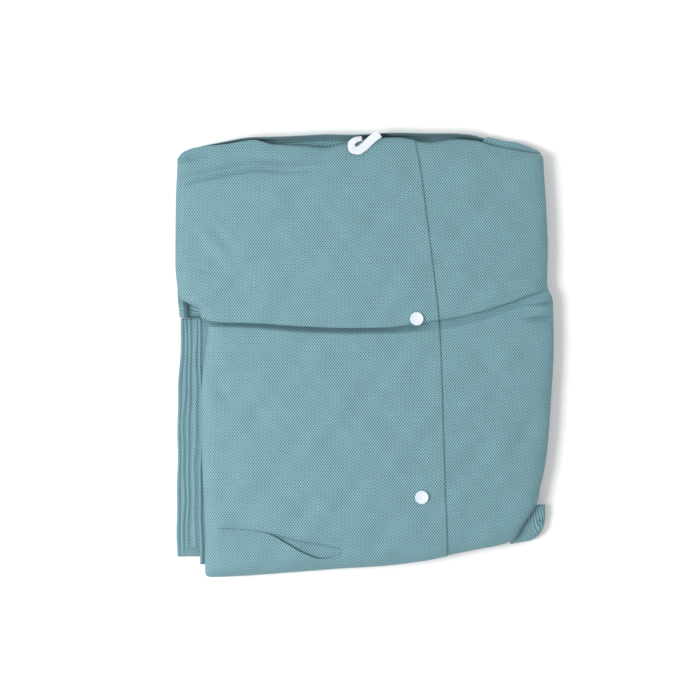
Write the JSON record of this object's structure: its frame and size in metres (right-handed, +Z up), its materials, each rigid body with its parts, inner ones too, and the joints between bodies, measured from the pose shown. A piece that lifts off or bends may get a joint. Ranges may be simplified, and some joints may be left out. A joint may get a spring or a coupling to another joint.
{
  "type": "folded disposable lab coat",
  "caption": "Disposable lab coat folded flat into a rectangular packet, lying face up: snap-fastened front overlap, open crease, layered turned sides, hip pocket and neck hanging loop.",
  "frame": {"origin": "centre of the bounding box's underside, on the surface that the packet lies on", "axes": "+Y to the packet's neck end, along its length, +X to the right as it is seen face up, +Z up out of the face"},
  "size_m": [0.3498, 0.4127, 0.0289],
  "materials": {
    "spunbond_teal": "matt embossed nonwoven, pale teal",
    "spunbond_teal_inside": "matt embossed nonwoven, pale teal in shade",
    "woven_white_tape": "matt woven tape, white",
    "white_snap_plastic": "smooth moulded plastic, white"
  },
  "bodies": {
    "root": {"folded_layers": "spunbond_teal_inside", "right_front": "spunbond_teal", "left_front": "spunbond_teal", "back_side_fold": "spunbond_teal", "right_sleeve_fold": "spunbond_teal", "front_side_fold": "spunbond_teal", "left_sleeve_fold": "spunbond_teal", "back_neck_fold": "spunbond_teal_inside", "hip_pocket": "spunbond_teal", "snap_cap_upper": "white_snap_plastic", "snap_cap_lower": "white_snap_plastic", "neck_tape": "woven_white_tape"}
  },
  "joints": []
}
